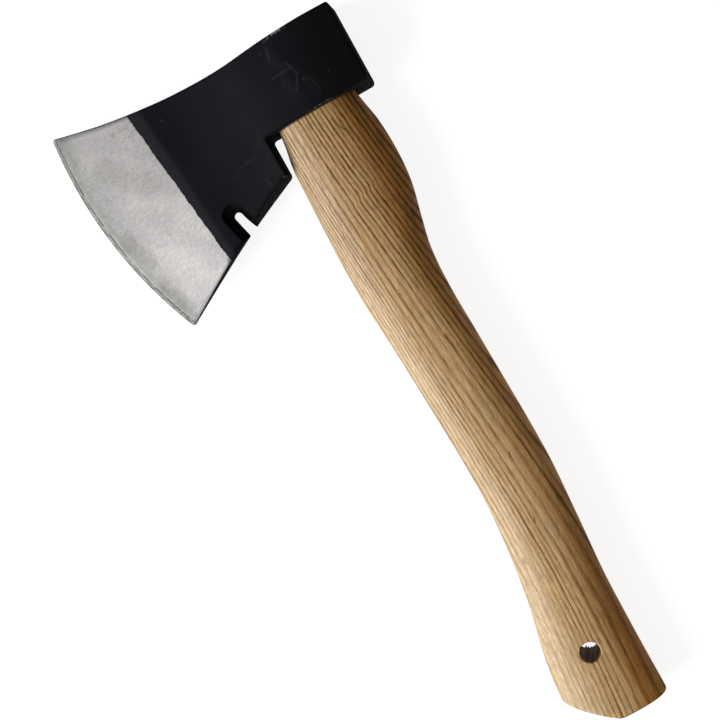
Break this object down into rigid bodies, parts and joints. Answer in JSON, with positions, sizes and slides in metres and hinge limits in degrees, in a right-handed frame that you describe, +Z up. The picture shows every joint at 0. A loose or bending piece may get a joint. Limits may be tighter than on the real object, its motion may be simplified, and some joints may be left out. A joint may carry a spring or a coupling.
{
  "type": "hatchet",
  "caption": "Small forestry hatchet: wedge-shaped steel head with a ground edge and a nail notch, on a curved ash handle with a lanyard hole.",
  "frame": {"origin": "on the lower cheek's flat face, under the middle of the eye, where the hatchet rests when it lies on its side", "axes": "+X along the eye towards the top of the head (the handle runs towards -X), +Y towards the cutting edge, +Z up out of the upper cheek"},
  "size_m": [0.3652, 0.1462, 0.03],
  "materials": {
    "painted_steel": "satin black paint on the forging, bare ground steel at the bit",
    "ash_wood": "satin clear lacquer over brown-grained ash",
    "wedge_wood": "sawn end grain under clear lacquer",
    "bare_steel": "bare"
  },
  "bodies": {
    "root": {"head": "painted_steel", "handle": "ash_wood", "wood_wedge": "wedge_wood", "steel_wedge_poll_side": "bare_steel", "steel_wedge_edge_side": "bare_steel"}
  },
  "joints": []
}
